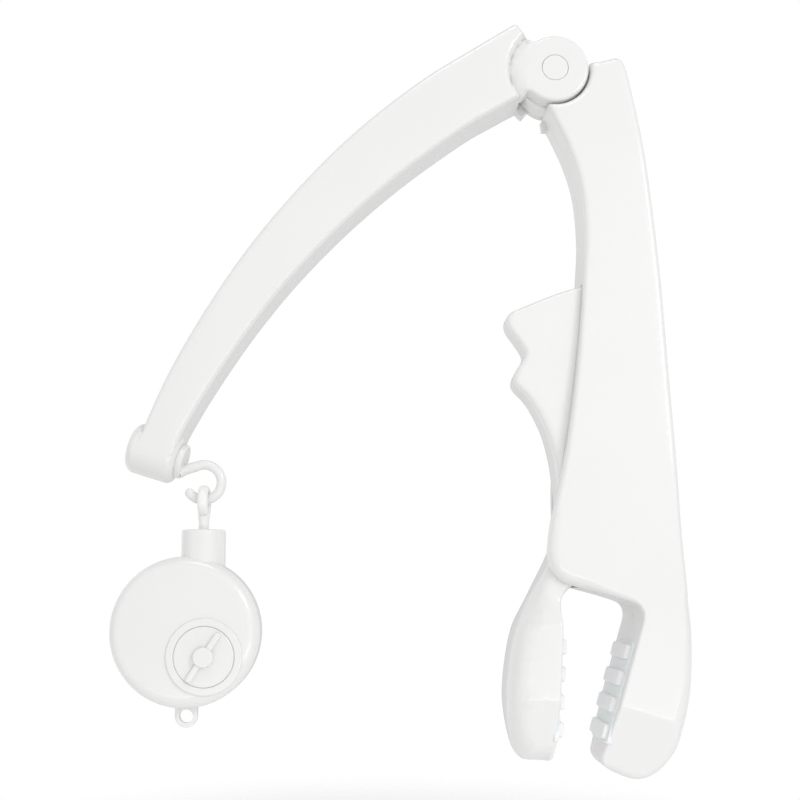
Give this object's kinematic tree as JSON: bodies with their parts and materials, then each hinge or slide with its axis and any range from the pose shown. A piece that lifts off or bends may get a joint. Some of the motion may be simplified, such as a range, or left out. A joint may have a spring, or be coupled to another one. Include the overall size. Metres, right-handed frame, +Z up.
{
  "type": "clip-on baby mobile holder",
  "caption": "Clip-on holder for a baby mobile: sprung clamp post, folding curved arm with release button, swivel hook and a round wind-up music pod.",
  "frame": {"origin": "centre of the gap between the two jaw pads", "axes": "+Z up along the clamp post, +X from the music pod towards the post, +Y from the winding-key side to the back"},
  "size_m": [0.2636, 0.04, 0.3555],
  "materials": {
    "white_shell": "glossy moulded ABS",
    "white_resin": "satin acetal",
    "soft_pad": "soft translucent elastomer",
    "steel": "zinc plated",
    "plated_steel": "nickel plated sheet",
    "brass": "turned brass"
  },
  "bodies": {
    "post": {"post_front_shell": "white_shell", "post_back_shell": "white_shell", "fixed_jaw_pad": "soft_pad", "jaw_pivot_pin": "steel", "jaw_torsion_spring": "steel", "post_screws": "steel", "hinge_knuckle": "white_resin", "hinge_axle": "steel", "detent_ring": "white_resin"},
    "lever": {"clamp_lever": "white_shell", "moving_jaw_pad": "soft_pad"},
    "arm": {"arm_front_shell": "white_shell", "arm_back_shell": "white_shell", "arm_screws": "steel", "hinge_back_cap": "white_shell", "button_spring": "steel", "hook_bush": "white_resin"},
    "button": {"release_button": "white_shell", "lock_gear": "white_resin"},
    "hook": {"hook": "white_shell"},
    "eye": {"eye_stem": "white_resin", "stem_washer": "steel"},
    "pod": {"pod_front_shell": "white_shell", "pod_back_shell": "white_shell", "neck_collar": "white_shell", "pod_screws": "steel", "movement_plate": "plated_steel", "movement_bridge": "plated_steel", "comb": "steel", "comb_block": "brass"},
    "key": {"winding_key": "white_shell", "key_arbor": "steel"},
    "drum": {"spring_drum": "brass"},
    "cylinder": {"pin_cylinder": "brass"},
    "fan": {"governor": "brass"}
  },
  "joints": [
    {"name": "lever_squeeze", "type": "hinge", "parent": "post", "child": "lever", "pos_m": [0.007, 0, 0.08], "axis": [0, 1, 0], "range_deg": [0, 14], "stiffness_Nm_per_rad": 1.5, "springref_deg": -28.65, "deforming": ["jaw_torsion_spring"]},
    {"name": "arm_fold", "type": "hinge", "parent": "post", "child": "arm", "pos_m": [-0.008, 0, 0.295], "axis": [0, 1, 0], "range_deg": [-8, 105]},
    {"name": "button_press", "type": "slide", "parent": "arm", "child": "button", "axis": [0, 1, 0], "range_m": [0, 0.0025], "stiffness_N_per_m": 400, "springref_m": -0.002, "deforming": ["button_spring"]},
    {"name": "hook_swivel", "type": "hinge", "parent": "arm", "child": "hook", "pos_m": [-0.2086, 0, 0.1151], "axis": [0.9537, 0, -0.3007], "range_deg": [-90, 90]},
    {"name": "eye_swing", "type": "hinge", "parent": "hook", "child": "eye", "pos_m": [-0.1743, 0, 0.0977], "axis": [0, 1, 0], "range_deg": [-15, 15]},
    {"name": "pod_spin", "type": "hinge", "parent": "eye", "child": "pod", "pos_m": [-0.174, 0, 0.0283], "axis": [0, 0, 1], "continuous": true},
    {"name": "key_wind", "type": "hinge", "parent": "pod", "child": "key", "pos_m": [-0.1713, 0, 0.0173], "axis": [0, 1, 0], "continuous": true},
    {"name": "drum_turn", "type": "hinge", "parent": "pod", "child": "drum", "pos_m": [-0.1713, 0, 0.0173], "axis": [0, 1, 0], "continuous": true},
    {"name": "cylinder_turn", "type": "hinge", "parent": "pod", "child": "cylinder", "pos_m": [-0.17814, 0, 0.03609], "axis": [0, 1, 0], "continuous": true},
    {"name": "fan_turn", "type": "hinge", "parent": "pod", "child": "fan", "pos_m": [-0.1893, 0, 0.0173], "axis": [0, 1, 0], "continuous": true}
  ],
  "couplings": [
    {"joint": "cylinder_turn", "follows": "drum_turn", "ratio": -2.3333},
    {"joint": "fan_turn", "follows": "drum_turn", "ratio": -3.5}
  ]
}
